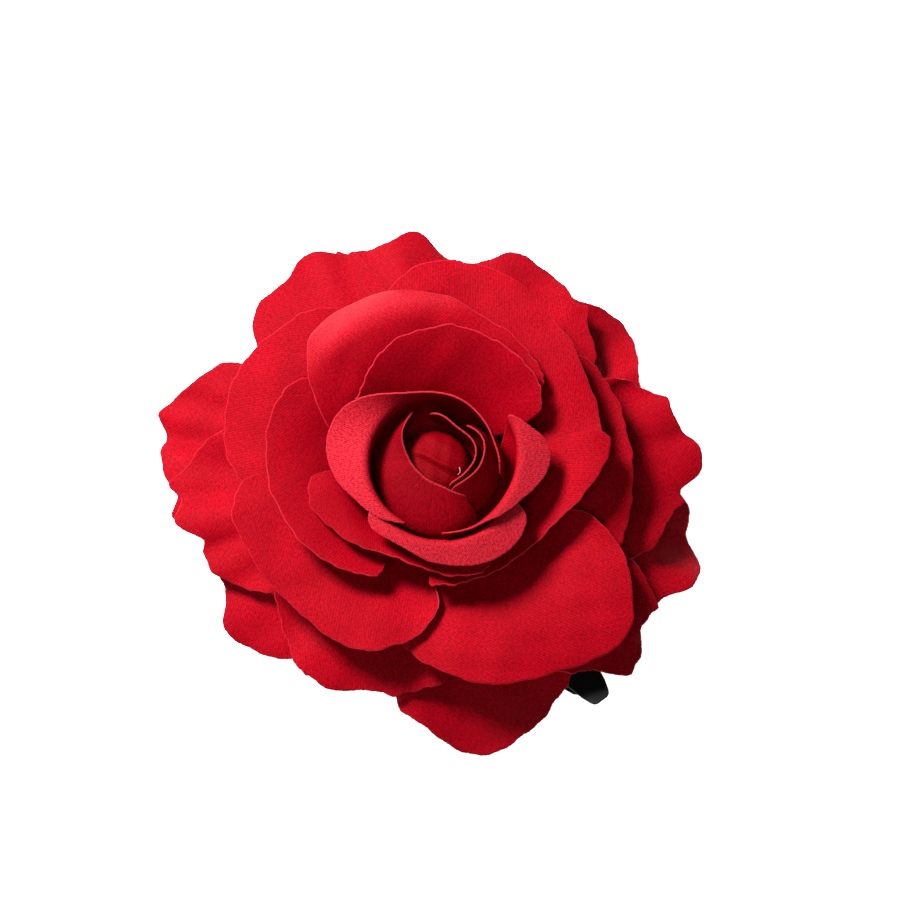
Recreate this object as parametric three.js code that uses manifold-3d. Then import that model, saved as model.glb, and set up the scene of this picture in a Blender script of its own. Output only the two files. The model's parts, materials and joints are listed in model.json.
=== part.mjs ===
// A fabric rose on a large black steel alligator hair clip.
// The flower is a stack of separately cut cloth petals glued round by round to a moulded base and a
// felt disc. The felt is glued to the clip's upper lever. The lower lever swings on a riveted pin
// against a torsion spring. Millimetres, +Z up the flower's axis, the clip lying flat below it.
import * as THREE from 'three';
import { mergeVertices } from 'three/addons/utils/BufferGeometryUtils.js';
import Module from 'manifold-3d';

const wasm = await Module();
wasm.setup();

// ---- Driving dimensions -------------------------------------------------------------------------

const CLOTH = 0.5; // stiffened petal cloth with its glue, one ply
const SHEET = 0.8; // clip steel
const CLIP_ANGLE = -53.5; // degrees from +X to the clip's tab end, seen from above
const NOSE_X = -26.4; // the clip's closed end, along its own length from the flower's axis
const PIN_X = 26; // the hinge pin's axis, from the flower's axis and above the table
const PIN_Z = 3.1;
const PIN_D = 1.6;
const PIN_HOLE_D = 2.2;
const PIN_HEAD_D = 3.4;
const TAB_X = 53; // end of the upper thumb tab
const LOWER_TAB_X = 48.6; // the lower tab stops short of the upper one
const TAB_RISE = 15; // degrees the upper thumb tab is bent up behind the pin
const TAB_BEND_X = 29; // where the upper lever's flat ends and its thumb tab starts
const PLATE_Z = 5.2; // underside of the upper lever's flat
const CLIP_W = 8.5; // across the upper lever
const TAB_END_W = 4.2; // across the rounded ends of both tabs
const LOWER_W = 6.2; // lower jaw, a channel between the upper lever's ears
const LOWER_TAB_W = 8; // the lower tab widens behind the pin
const LOWER_SIDE_X = 31; // back end of the channel's sides
const TEETH_END_X = 16; // the teeth stop here and the sides run on plain to the ears
const TOOTH_PITCH = 3;
const TOOTH_DEPTH = 1.2;
const JAW_Z = 4.8; // tips of the lower jaw's teeth
const EAR_R = 2.2; // rounded ends of the upper lever's ears
const LOWER_EAR_R = 1.7;
const EAR_FRONT_X = 20.5; // the upper ears leave the flat between here and the tab's bend
const HEAD_T = 0.7; // thickness of the rivet's heads
const GAP = 0.3; // clearance between pieces
const WIRE_D = 0.7;
const COIL_R = 1.5; // spring coil, middle of the wire
const COIL_PITCH = 0.95;
const COIL_TURNS = 3.5;
const LEG_X = 38; // ends of the spring's legs
const FELT_D = 42;
const FELT_Z = 6.3; // underside of the felt, on the clip's flat
const FELT_T = 2;
const BASE_Z = 8.6; // underside of the moulded base the petals are glued round
const BASE_R = 13.2;
const BASE_TOP_Z = 19; // the base's small flat top, which carries the bud
const HEART_R = 7.3; // foam bud heart at its widest
const HEART_TOP_Z = 28;
const GRID_STEPS = 60; // steps along a petal that its profile is summed over

const COLOURS = {
  cloth: 0xc8001c,
  core: 0x8c0014,
  base: 0x3d6b35,
  felt: 0x9c0b1c,
  steel: 0x0d0d0e,
  spring: 0x8b8f94,
};

// ---- Petals -------------------------------------------------------------------------------------

// A petal leaves its foot circle and follows a profile outwards: `rise` is the profile's slope in
// degrees at equal steps over the length `ref`. `reach` is the cloth's length from foot to edge at
// stations across the petal, `curl` bends the cloth over past the length `fold`, `lift`, `push` and
// `belly` move the edge up, the edge out and the middle out. All of them run from the petal's
// clockwise side to its other side. `az` and `spread` are its middle and half width in degrees.
const PETAL = {
  centre: [0, 0],
  foot: [12, 13],
  spread: 40,
  ref: 36,
  rise: [28, 22, 10, -4, -14],
  curl: [0],
  fold: 20,
  roll: 5,
  lift: [0],
  push: [0],
  belly: [0],
  narrow: 0.65,
  columns: 10,
  rows: 6,
};
const BACK = { ref: 40, spread: 28, narrow: 0.8, columns: 8, rows: 5 };
const LOW = { ...BACK, foot: [14, 9.4], rise: [8, 2, -8, -16, -20] };
const HIGH = { ...BACK, foot: [13.5, 11.2], rise: [12, 6, -4, -13, -18] };
const MIDDLE = { foot: [10.5, 15.5], ref: 34, rise: [40, 34, 22, 8, -6] };
const INNER = { foot: [9.5, 16], ref: 26, rise: [42, 42, 34, 18, -5] };
const CUP = { foot: [9, 18], ref: 17, rise: [20, 55, 80, 90, 88], fold: 13, columns: 12 };
const BUD = { centre: [-0.5, 1.5], foot: [8, 20], ref: 13, columns: 12, rows: 5 };

const PETALS = {
  back_low_petal_1: { ...LOW, az: 164, reach: [24, 26, 30.5, 42, 46.5, 43, 38, 32, 26],
    lift: [0, 1, -1, 1, -1.2, 0, 2, 0, 1.5] },
  back_low_petal_2: { ...LOW, az: -141, reach: [26, 32, 34, 35.5, 30, 25, 22],
    lift: [-1.5, 0.5, -1, 1, 0] },
  back_low_petal_3: { ...LOW, az: -81, spread: 27, reach: [24, 26, 31, 34.7, 39.8, 38, 34.5, 32, 29],
    lift: [0, -1, 1, 0, -1, 1.5, 3.5, 4.8, 4.8] },
  back_low_petal_4: { ...LOW, az: -15, reach: [26, 29, 33, 35.5, 41, 36, 33, 30, 27],
    lift: [0, 1, -1, 1, -2, 1, -1, 0] },
  back_low_petal_5: { ...LOW, az: 44, spread: 25, reach: [22, 26, 33.5, 39, 33.5, 28, 22],
    lift: [0, 1.5, -1, 1, 0] },
  back_low_petal_6: { ...LOW, az: 100, spread: 26, reach: [22, 24, 28, 38.5, 41.5, 42, 33, 28, 24],
    lift: [0, -1, 1, -1, 0] },
  back_high_petal_1: { ...HIGH, az: -171, spread: 26, reach: [26, 32, 36.5, 39, 38.5, 34, 30.5, 26, 22],
    lift: [0, 1, -1.5, 1, -1, 0, -1.5] },
  back_high_petal_2: { ...HIGH, az: -118, spread: 31, reach: [24, 26, 28, 31, 33, 29, 27.5, 26, 23],
    lift: [2, 1.5, 0, 1, -1, 1, 0] },
  back_high_petal_3: { ...HIGH, az: -42, spread: 20, reach: [24, 30, 34, 39, 35, 31, 27],
    lift: [3.5, 3.5, 3.5, 2.5, 1.5, 1.5, 2] },
  back_high_petal_4: { ...HIGH, az: 6, spread: 29, reach: [25, 27, 31, 33.5, 39, 36.5, 33.5, 28, 24],
    lift: [-1.5, -1, 1, -1.5, 1.5, -1.5, 1, 0] },
  back_high_petal_5: { ...HIGH, az: 63, spread: 27, reach: [22, 27, 32, 37.5, 37.5, 33, 27],
    lift: [0, 1, -1, 0] },
  back_high_petal_6: { ...HIGH, az: 123, reach: [22, 24, 28, 41.5, 41, 40.5, 33, 29, 25],
    lift: [0, -1, 1, -1, 1, -1, 1, 0] },
  outer_petal_1: { az: 152, spread: 34, reach: [24, 31, 33.5, 35.5, 33, 28, 22] },
  outer_petal_2: { az: -136, spread: 46, foot: [12, 14], lift: [0, 0, 0, 0.5, 2.2],
    reach: [21, 28, 30.5, 29, 27.5, 27.5, 23.5, 18, 14] },
  outer_petal_3: { az: -60, spread: 46, foot: [12, 13.8], lift: [-2.8, -1.6, -0.5, 0, 0.8, 1.5, 2],
    reach: [19, 23, 26.5, 31, 33.5, 37, 30.5, 22, 17] },
  outer_petal_4: { az: 8, spread: 38, foot: [12, 12.9], lift: [-2.5, -1.5, 0, 0, 0],
    reach: [22, 26, 27, 27, 27.5, 27, 22] },
  outer_petal_5: { az: 80, spread: 34, lift: [0.8, 0.4, 0, 0, 0], reach: [22, 26, 27, 28, 27, 26, 22] },
  middle_petal_1: { ...MIDDLE, az: -170, spread: 50, rise: [40, 36, 24, 12, 2],
    reach: [16, 25.5, 27.5, 25.5, 22, 18, 15] },
  middle_petal_2: { ...MIDDLE, az: 54, spread: 56, lift: [0, 0, 0, -0.5, -2], columns: 12,
    reach: [20, 23, 24.5, 26.5, 30, 34.5, 35, 30.5, 24] },
  middle_petal_3: { ...MIDDLE, az: 102, spread: 62, foot: [10, 17], rise: [48, 42, 30, 14, -4], fold: 24,
    roll: 5, curl: [0, 0, 0, -25, -47, -50, -24, 0, 0], push: [2, 1, 0, 0, 0], columns: 12,
    reach: [18, 20.5, 22.8, 26, 33, 35.5, 25.5, 17.5, 14] },
  inner_petal_1: { ...INNER, az: -120, spread: 60, foot: [9.7, 16], ref: 22, rise: [34, 53, 54, 12, -15],
    reach: [14, 20.5, 21.2, 18.2, 14.7, 15.3, 16.9, 16.5, 14] },
  inner_petal_2: { ...INNER, az: -40, spread: 56, foot: [9.9, 15.2],
    reach: [16, 16, 16, 16, 16.5, 19.5, 25, 27, 21] },
  inner_petal_3: { ...INNER, az: 87, spread: 57, foot: [9.6, 17.4], ref: 24, rise: [45, 52, 45, 35, 25],
    push: [2.5, 1.5, 0, 0, 0], reach: [14, 18.5, 21.9, 24, 22, 17.5, 16] },
  cup_petal_1: { ...CUP, az: -87, spread: 60, foot: [9.2, 17.6], rise: [14, 52, 80, 90, 88], curl: [-105],
    reach: [16, 18.5, 18, 20, 21.5, 20.5, 16.5] },
  cup_petal_2: { ...CUP, az: -27, spread: 62, foot: [8.95, 18.6], rise: [20, 57, 84, 92, 88], fold: 13.3,
    push: [0, 0, 0, 0, 0.5, 1.3, 1.9], belly: [0, 0, 0, 0.2, 0.8, 1.3, 1.2],
    curl: [-60, -70, -100, -105, -105, -80, -60], reach: [15.5, 15.5, 15.8, 18.5, 22.5, 18.5, 16.5] },
  cup_petal_3: { ...CUP, az: 117, spread: 122, foot: [8.4, 18.6], rise: [14, 50, 85, 94, 92], columns: 22,
    push: [-2, -2, -2, -0.5, 0.5, 1, 0.5, 0, 0], curl: [0, 0, 0, 0, -30, -110, -120, -120, -100],
    reach: [12, 15, 16.5, 17.8, 18.4, 24, 19.2, 16.5, 15] },
  bud_petal_1: { ...BUD, az: -150, spread: 95, rise: [45, 80, 105, 118, 120], columns: 16,
    push: [3, 2.7, 1.5, -1.5, -2.6, -2.7, -1.7, 0.5, 1.5], belly: [0, 0, 1, 3.2, 4.6, 5.6, 5.6, 3.7, 2.5],
    reach: [9, 11, 11.6, 11, 11.3, 11.2, 11.4, 11.3, 10.5] },
  bud_petal_2: { ...BUD, az: -8, spread: 60, foot: [7.7, 19.9], rise: [50, 85, 100, 100, 90],
    push: [-1.4, -1.5, -1, 0.4, 1.5, 0.9, 0.5], belly: [3.3, 3.3, 3.3, 3, 1.6, 1, 0.5],
    reach: [9, 11, 11.5, 11.5, 11.5, 11, 8] },
  bud_petal_3: { ...BUD, az: 15, spread: 85, foot: [7, 20.2], rise: [50, 85, 100, 105, 105],
    push: [-1.6, -1.4, -0.8, 0.6, 0.1, 1.7, 2], reach: [9, 11, 11.3, 11.3, 11.3, 11, 9] },
};

// ---- Petal surfaces ------------------------------------------------------------------------------

const radians = THREE.MathUtils.degToRad;

// Reads `values`, given at equal steps over 0..1, at x on a smooth curve through them.
function smooth(values, x) {
  const last = values.length - 1;
  if (last === 0) return values[0];
  const p = Math.min(Math.max(x, 0), 1) * last;
  const i = Math.min(Math.floor(p), last - 1);
  const f = p - i;
  const at = (j) => {
    if (j < 0) return 2 * values[0] - values[1];
    if (j > last) return 2 * values[last] - values[last - 1];
    return values[j];
  };
  const [a, b, c, d] = [at(i - 1), at(i), at(i + 1), at(i + 2)];
  return b + 0.5 * f * (c - a + f * (2 * a - 5 * b + 4 * c - d + f * (3 * (b - c) + d - a)));
}

// The petal's middle surface on its grid: one list of points per row, foot first.
function petalGrid(p) {
  const stride = GRID_STEPS / p.rows;
  const grid = Array.from({ length: p.rows + 1 }, () => []);
  for (let j = 0; j <= p.columns; j++) {
    const across = j / p.columns;
    const side = Math.sin(Math.PI * (across - 0.5));
    const reach = smooth(p.reach, across);
    const step = reach / GRID_STEPS;
    const slope = (i) => {
      const along = i * step;
      const k = Math.min(Math.max((along - p.fold) / p.roll, 0), 1);
      return radians(smooth(p.rise, along / p.ref) + smooth(p.curl, across) * k * k * (3 - 2 * k));
    };
    let out = 0;
    let up = 0;
    for (let i = 0; i <= GRID_STEPS; i++) {
      if (i > 0) {
        out += ((Math.cos(slope(i)) + Math.cos(slope(i - 1))) / 2) * step;
        up += ((Math.sin(slope(i)) + Math.sin(slope(i - 1))) / 2) * step;
      }
      if (i % stride) continue;
      const s = i / GRID_STEPS;
      const width = p.narrow + (1 - p.narrow) * Math.sin((Math.PI / 2) * Math.min(1, (2 * i * step) / p.ref));
      const angle = radians(p.az + p.spread * side * width);
      const bulge = smooth(p.belly, across) * Math.sin(Math.PI * s);
      const r = p.foot[0] + out + smooth(p.push, across) * s + bulge;
      const z = p.foot[1] + up + smooth(p.lift, across) * s * s;
      const x = p.centre[0] + r * Math.cos(angle);
      const y = p.centre[1] + r * Math.sin(angle);
      grid[i / stride].push(new THREE.Vector3(x, y, z));
    }
  }
  return grid;
}

// A closed sheet of cloth: the grid moved half the cloth's thickness to either side, and its edges.
function sheetGeometry(grid, thickness) {
  const rows = grid.length;
  const columns = grid[0].length;
  const clamp = (v, most) => Math.min(Math.max(v, 0), most);
  const at = (i, j) => grid[clamp(i, rows - 1)][clamp(j, columns - 1)];
  const positions = [];
  for (const half of [thickness / 2, -thickness / 2]) {
    for (let i = 0; i < rows; i++) {
      for (let j = 0; j < columns; j++) {
        const along = at(i + 1, j).clone().sub(at(i - 1, j));
        const across = at(i, j + 1).clone().sub(at(i, j - 1));
        const normal = along.cross(across).normalize();
        positions.push(...at(i, j).clone().addScaledVector(normal, half).toArray());
      }
    }
  }
  const under = rows * columns;
  const index = [];
  const quad = (a, b, c, d) => index.push(a, b, c, a, c, d);
  for (let i = 0; i < rows - 1; i++) {
    for (let j = 0; j < columns - 1; j++) {
      const a = i * columns + j;
      quad(a, a + columns, a + columns + 1, a + 1);
      quad(under + a, under + a + 1, under + a + columns + 1, under + a + columns);
    }
  }
  const wall = (a, b) => quad(a, b, under + b, under + a);
  for (let j = 0; j < columns - 1; j++) {
    wall(j, j + 1);
    wall((rows - 1) * columns + j + 1, (rows - 1) * columns + j);
  }
  for (let i = 0; i < rows - 1; i++) {
    wall((i + 1) * columns, i * columns);
    wall(i * columns + columns - 1, (i + 1) * columns + columns - 1);
  }
  const geometry = new THREE.BufferGeometry();
  geometry.setAttribute('position', new THREE.Float32BufferAttribute(positions, 3));
  geometry.setIndex(index);
  return geometry;
}

// ---- Solids from manifold-3d --------------------------------------------------------------------

function solid(geometry) {
  const bare = geometry.clone();
  bare.deleteAttribute('normal');
  bare.deleteAttribute('uv');
  const merged = mergeVertices(bare, 1e-4);
  const mesh = new wasm.Mesh({
    numProp: 3,
    vertProperties: merged.attributes.position.array,
    triVerts: new Uint32Array(merged.index.array),
  });
  return new wasm.Manifold(mesh);
}

function geometryOf(manifold) {
  const mesh = manifold.getMesh();
  const geometry = new THREE.BufferGeometry();
  geometry.setAttribute('position', new THREE.BufferAttribute(mesh.vertProperties, 3));
  geometry.setIndex(new THREE.BufferAttribute(mesh.triVerts, 1));
  return geometry;
}

// ---- Clip, drawn with X along its length, Y across and Z up ---------------------------------------

// An outline of [x, z] points drawn from the side, made solid from y0 to y1.
function sideProfile(points, y0, y1) {
  const shape = new THREE.Shape(points.map(([x, z]) => new THREE.Vector2(x, z)));
  const geometry = new THREE.ExtrudeGeometry(shape, { depth: y1 - y0, bevelEnabled: false });
  geometry.rotateX(Math.PI / 2);
  geometry.translate(0, y1, 0);
  return solid(geometry);
}

// One half of a plan outline, as [x, half width], mirrored and made solid through the clip's height.
function planProfile(half) {
  const other = half.map(([x, y]) => [x, -y]).reverse();
  const shape = new THREE.Shape([...half, ...other].map(([x, y]) => new THREE.Vector2(x, y)));
  const geometry = new THREE.ExtrudeGeometry(shape, { depth: 40, bevelEnabled: false });
  geometry.translate(0, 0, -10);
  return solid(geometry);
}

function pinCylinder(diameter, y0, y1) {
  const geometry = new THREE.CylinderGeometry(diameter / 2, diameter / 2, y1 - y0, 20);
  geometry.translate(PIN_X, (y0 + y1) / 2, PIN_Z);
  return solid(geometry);
}

// Points of an arc round the pin, in degrees from +X towards +Z.
function aroundPin(radius, from, to, count) {
  return Array.from({ length: count + 1 }, (_, i) => {
    const a = radians(from + ((to - from) * i) / count);
    return [PIN_X + radius * Math.cos(a), PIN_Z + radius * Math.sin(a)];
  });
}

// Pressed strip: a flat that carries the felt, two ears bent down over the pin, and a thumb tab.
function upperLever() {
  const rise = Math.tan(radians(TAB_RISE));
  const tabZ = PLATE_Z + (TAB_X - TAB_BEND_X) * rise;
  const top = PLATE_Z + SHEET;
  const side = [[NOSE_X, PLATE_Z], [TAB_BEND_X, PLATE_Z], [TAB_X, tabZ], [TAB_X, tabZ + SHEET]];
  side.push([TAB_BEND_X, top], [NOSE_X, top]);
  const w = CLIP_W / 2;
  const plan = [[NOSE_X, w - 1.8], [NOSE_X + 0.6, w - 0.9], [NOSE_X + 2, w], [TAB_BEND_X + 9, w]];
  plan.push([TAB_X - 6, w - 0.75], [TAB_X - 3, w - 1.35], [TAB_X - 1, TAB_END_W / 2 + 0.1]);
  plan.push([TAB_X - 0.3, TAB_END_W / 2 - 0.3], [TAB_X, TAB_END_W / 2 - 0.9]);
  let lever = sideProfile(side, -w, w).intersect(planProfile(plan));
  const inFlat = PLATE_Z + SHEET / 2;
  const ear = [[EAR_FRONT_X, inFlat], [EAR_FRONT_X + 1.7, inFlat - 1.2], [EAR_FRONT_X + 2.7, inFlat - 2.2]];
  ear.push(...aroundPin(EAR_R, 200, 340, 8), [TAB_BEND_X, inFlat - 1.2], [TAB_BEND_X, inFlat]);
  for (const y of [-w, w - SHEET]) lever = lever.add(sideProfile(ear, y, y + SHEET));
  return lever.subtract(pinCylinder(PIN_HOLE_D, -w - 1, w + 1));
}

// Pressed channel: a flat floor that lies on the table, toothed sides, ears on the pin and a tab.
function lowerLever() {
  const w = LOWER_W / 2;
  const nose = NOSE_X + 0.6;
  const toothStart = nose + 1.4;
  const plan = [[nose, w - 1.2], [nose + 0.5, w - 0.4], [toothStart, w], [LOWER_SIDE_X, w]];
  plan.push([LOWER_SIDE_X + 2, LOWER_TAB_W / 2], [LOWER_TAB_X - 7, LOWER_TAB_W / 2]);
  plan.push([LOWER_TAB_X - 3, LOWER_TAB_W / 2 - 0.8], [LOWER_TAB_X - 1, TAB_END_W / 2 + 0.2]);
  plan.push([LOWER_TAB_X, TAB_END_W / 2 - 0.8]);
  const floor = [[nose, 0], [LOWER_TAB_X, 0], [LOWER_TAB_X, SHEET], [nose, SHEET]];
  let lever = sideProfile(floor, -LOWER_TAB_W, LOWER_TAB_W).intersect(planProfile(plan));
  const inFloor = SHEET / 2;
  const valley = JAW_Z - TOOTH_DEPTH;
  const side = [[LOWER_SIDE_X, inFloor], [toothStart, inFloor], [toothStart, valley]];
  for (let x = toothStart; x + TOOTH_PITCH < TEETH_END_X; x += TOOTH_PITCH) {
    side.push([x + TOOTH_PITCH / 2, JAW_Z], [x + TOOTH_PITCH, valley]);
  }
  side.push([PIN_X - 4, valley], ...aroundPin(LOWER_EAR_R, 150, 0, 8), [LOWER_SIDE_X - 2, inFloor + 1]);
  for (const y of [-w, w - SHEET]) lever = lever.add(sideProfile([...side].reverse(), y, y + SHEET));
  return lever.subtract(pinCylinder(PIN_HOLE_D, -w - 1, w + 1));
}

// Rivet: a plain shank through the four ears, with a head formed outside each outer ear.
function hingePin() {
  const face = CLIP_W / 2 + GAP;
  const head = face + HEAD_T;
  const shank = pinCylinder(PIN_D, -head, head);
  return shank.add(pinCylinder(PIN_HEAD_D, face, head)).add(pinCylinder(PIN_HEAD_D, -head, -face));
}

// Round wire: a leg under the upper tab, turns round the pin, and a leg on the lower lever's floor.
function torsionSpring() {
  const half = (COIL_TURNS * COIL_PITCH) / 2;
  const points = [];
  const legTop = PIN_Z + COIL_R - 0.1;
  const legBottom = PIN_Z - COIL_R;
  points.push([LEG_X, -half, legTop + (LEG_X - TAB_BEND_X - 1) * 0.25], [TAB_BEND_X + 1, -half, legTop]);
  const steps = 11 * COIL_TURNS;
  for (let i = 0; i <= steps; i++) {
    const a = (2 * Math.PI * COIL_TURNS * i) / steps;
    const y = -half + (2 * half * i) / steps;
    points.push([PIN_X - COIL_R * Math.sin(a), y, PIN_Z + COIL_R * Math.cos(a)]);
  }
  points.push([TAB_BEND_X + 1, half, legBottom], [LEG_X, half, legBottom]);
  const path = new THREE.CatmullRomCurve3(points.map((p) => new THREE.Vector3(...p)), false, 'centripetal');
  const section = new THREE.Shape();
  section.absarc(0, 0, WIRE_D / 2, 0, 2 * Math.PI);
  const geometry = new THREE.ExtrudeGeometry(section, { extrudePath: path, steps: 72, curveSegments: 6 });
  return solid(geometry);
}

// ---- Middle of the flower -----------------------------------------------------------------------

// A turned shape about the flower's axis from [radius, z] points, which start and end on the axis.
function turned(points, segments) {
  const geometry = new THREE.LatheGeometry(points.map(([r, z]) => new THREE.Vector2(r, z)), segments);
  geometry.rotateX(Math.PI / 2);
  return geometry;
}

// The moulded base steps in as it rises, so that each round of petals has its own shoulder.
function flowerBase() {
  const profile = [[0, BASE_Z], [BASE_R, BASE_Z], [BASE_R, BASE_Z + 0.6], [BASE_R - 0.8, 11.2]];
  profile.push([BASE_R - 2.2, 12.6], [BASE_R - 3.7, 15.4], [BASE_R - 5.2, 17.2]);
  profile.push([BASE_R - 6.2, BASE_TOP_Z - 0.6], [BASE_R - 7.2, BASE_TOP_Z], [0, BASE_TOP_Z]);
  return turned(profile, 24);
}

// Cloth-covered foam bud heart, a dome on a short neck.
function budHeart() {
  const profile = [[0, BASE_TOP_Z + GAP], [HEART_R - 1.1, BASE_TOP_Z + GAP], [HEART_R - 0.1, 21.5]];
  profile.push([HEART_R, 23.5], [HEART_R - 0.9, HEART_TOP_Z - 2.4], [HEART_R - 2.8, HEART_TOP_Z - 0.8]);
  profile.push([HEART_R - 5, HEART_TOP_Z - 0.1], [0, HEART_TOP_Z]);
  const geometry = turned(profile, 24);
  geometry.translate(BUD.centre[0] - 1, BUD.centre[1], 0);
  return geometry;
}

function feltDisc() {
  const geometry = new THREE.CylinderGeometry(FELT_D / 2, FELT_D / 2, FELT_T, 40);
  geometry.rotateX(Math.PI / 2);
  geometry.translate(0, 0, FELT_Z + FELT_T / 2);
  return geometry;
}

// ---- Assembly -------------------------------------------------------------------------------------

const root = new THREE.Group();

function addNode(parent, name, geometry, color, roughness, metalness = 0) {
  const mesh = new THREE.Mesh(geometry, new THREE.MeshStandardMaterial({ color, roughness, metalness }));
  mesh.name = name;
  parent.add(mesh);
}

for (const [name, overrides] of Object.entries(PETALS)) {
  const grid = petalGrid({ ...PETAL, ...overrides });
  addNode(root, name, sheetGeometry(grid, CLOTH), COLOURS.cloth, 0.75);
}
addNode(root, 'bud_heart', budHeart(), COLOURS.core, 0.8);
addNode(root, 'flower_base', flowerBase(), COLOURS.base, 0.5);
addNode(root, 'felt_backing', feltDisc(), COLOURS.felt, 0.95);

const clip = new THREE.Group();
clip.rotation.z = radians(CLIP_ANGLE);
root.add(clip);
addNode(clip, 'upper_lever', geometryOf(upperLever()), COLOURS.steel, 0.35, 0.6);
addNode(clip, 'lower_lever', geometryOf(lowerLever()), COLOURS.steel, 0.35, 0.6);
addNode(clip, 'hinge_pin', geometryOf(hingePin()), COLOURS.steel, 0.35, 0.6);
addNode(clip, 'torsion_spring', geometryOf(torsionSpring()), COLOURS.spring, 0.3, 0.9);

// The frame's origin is under the middle of the whole piece, on the surface it lies on.
root.updateMatrixWorld(true);
const box = new THREE.Box3().setFromObject(root);
root.position.set(-(box.min.x + box.max.x) / 2, -(box.min.y + box.max.y) / 2, -box.min.z);

export default root;
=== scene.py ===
import json
import math

import bpy
import numpy as np
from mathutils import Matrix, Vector


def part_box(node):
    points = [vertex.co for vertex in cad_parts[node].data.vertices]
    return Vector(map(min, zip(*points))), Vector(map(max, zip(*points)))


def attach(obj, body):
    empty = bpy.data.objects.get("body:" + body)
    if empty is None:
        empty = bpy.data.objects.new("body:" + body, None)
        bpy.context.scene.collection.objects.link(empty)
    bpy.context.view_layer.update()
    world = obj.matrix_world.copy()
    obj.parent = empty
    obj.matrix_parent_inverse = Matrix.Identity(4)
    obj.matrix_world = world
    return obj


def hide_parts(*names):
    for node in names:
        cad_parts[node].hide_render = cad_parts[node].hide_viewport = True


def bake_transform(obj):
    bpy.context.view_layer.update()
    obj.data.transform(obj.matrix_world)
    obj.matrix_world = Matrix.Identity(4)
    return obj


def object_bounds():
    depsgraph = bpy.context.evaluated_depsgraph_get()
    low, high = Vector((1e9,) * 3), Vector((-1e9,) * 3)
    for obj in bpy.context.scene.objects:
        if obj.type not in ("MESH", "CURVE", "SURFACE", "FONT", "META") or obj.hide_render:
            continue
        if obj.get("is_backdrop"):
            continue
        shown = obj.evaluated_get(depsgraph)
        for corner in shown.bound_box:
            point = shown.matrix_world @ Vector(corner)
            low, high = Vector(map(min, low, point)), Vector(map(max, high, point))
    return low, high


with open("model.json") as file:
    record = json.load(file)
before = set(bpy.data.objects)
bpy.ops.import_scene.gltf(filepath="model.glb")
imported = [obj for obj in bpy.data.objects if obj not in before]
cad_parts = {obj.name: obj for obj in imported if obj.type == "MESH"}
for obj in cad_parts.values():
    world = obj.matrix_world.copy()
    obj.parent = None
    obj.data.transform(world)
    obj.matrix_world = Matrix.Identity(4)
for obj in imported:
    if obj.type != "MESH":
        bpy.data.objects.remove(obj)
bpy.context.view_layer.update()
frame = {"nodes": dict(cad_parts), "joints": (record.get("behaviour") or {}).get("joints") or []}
MM = 0.001

# ---- Clip levers and pin ------------------------------------------------------------------------
# Two strips of steel pressed into a flat and a toothed channel, each with ears and a thumb tab, and
# the rivet that joins them. They are tumbled, so their edges are a little round, and then lacquered.


def linear(code, alpha=1.0):
    """The linear colour of an sRGB hex value."""
    parts = [int(code[i : i + 2], 16) / 255 for i in (1, 3, 5)]
    return (*[c / 12.92 if c <= 0.04045 else ((c + 0.055) / 1.055) ** 2.4 for c in parts], alpha)


def add(tree, kind, inputs=(), **settings):
    """Adds a node with its settings. Each input is a socket's name or number, with its value or the
    socket that feeds it."""
    made = tree.nodes.new(kind)
    for name, value in settings.items():
        setattr(made, name, value)
    for socket, value in inputs:
        if isinstance(value, bpy.types.NodeSocket):
            tree.links.new(value, made.inputs[socket])
        else:
            made.inputs[socket].default_value = value
    return made


def new_material(name):
    """An empty node material and its tree."""
    made = bpy.data.materials.new(name)
    made.use_nodes = True
    made.node_tree.nodes.clear()
    return made, made.node_tree


# Stove lacquer on steel: near black, dull satin, with the faint orange peel that thick lacquer dries to.
LACQUER, tree = new_material("black stove lacquer on steel")
place = add(tree, "ShaderNodeTexCoord")
peel = add(tree, "ShaderNodeTexNoise", [("Vector", place.outputs["Object"]), ("Scale", 1400), ("Detail", 2)])
rub = add(tree, "ShaderNodeTexNoise", [("Vector", place.outputs["Object"]), ("Scale", 260), ("Detail", 5)])
gloss = add(
    tree,
    "ShaderNodeMapRange",
    [("Value", rub.outputs["Fac"]), ("From Min", 0.3), ("From Max", 0.7), ("To Min", 0.5), ("To Max", 0.65)],
)
bump = add(
    tree,
    "ShaderNodeBump",
    [("Height", peel.outputs["Fac"]), ("Strength", 0.12), ("Distance", 0.0001)],
)
shade = add(
    tree,
    "ShaderNodeBsdfPrincipled",
    [
        ("Base Color", linear("#070707")),
        ("Roughness", gloss.outputs["Result"]),
        ("Specular IOR Level", 0.06),
        ("Normal", bump.outputs["Normal"]),
    ],
)
add(tree, "ShaderNodeOutputMaterial", [("Surface", shade.outputs["BSDF"])])


EDGE_RADIUS = 0.14  # what tumbling leaves on a pressed edge
CORNER_ANGLE = 28  # an edge that turns by more than this is rounded


def tumbled(cad_name, name, radius):
    """A copy of a pressed CAD piece whose sharp edges are rounded to `radius` metres."""
    mesh = frame["nodes"][cad_name].data.copy()
    mesh.materials.clear()
    made = bpy.data.objects.new(name, mesh)
    bpy.context.scene.collection.objects.link(made)
    weld = made.modifiers.new("Weld", "WELD")
    weld.merge_threshold = 2e-6
    edge = made.modifiers.new("Rounded edges", "BEVEL")
    edge.width = radius
    edge.segments = 2
    edge.limit_method = "ANGLE"
    edge.angle_limit = math.radians(CORNER_ANGLE)
    mesh.polygons.foreach_set("use_smooth", np.ones(len(mesh.polygons), bool))
    smooth = made.modifiers.new("Shading", "WEIGHTED_NORMAL")
    smooth.keep_sharp = True
    return made


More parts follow.
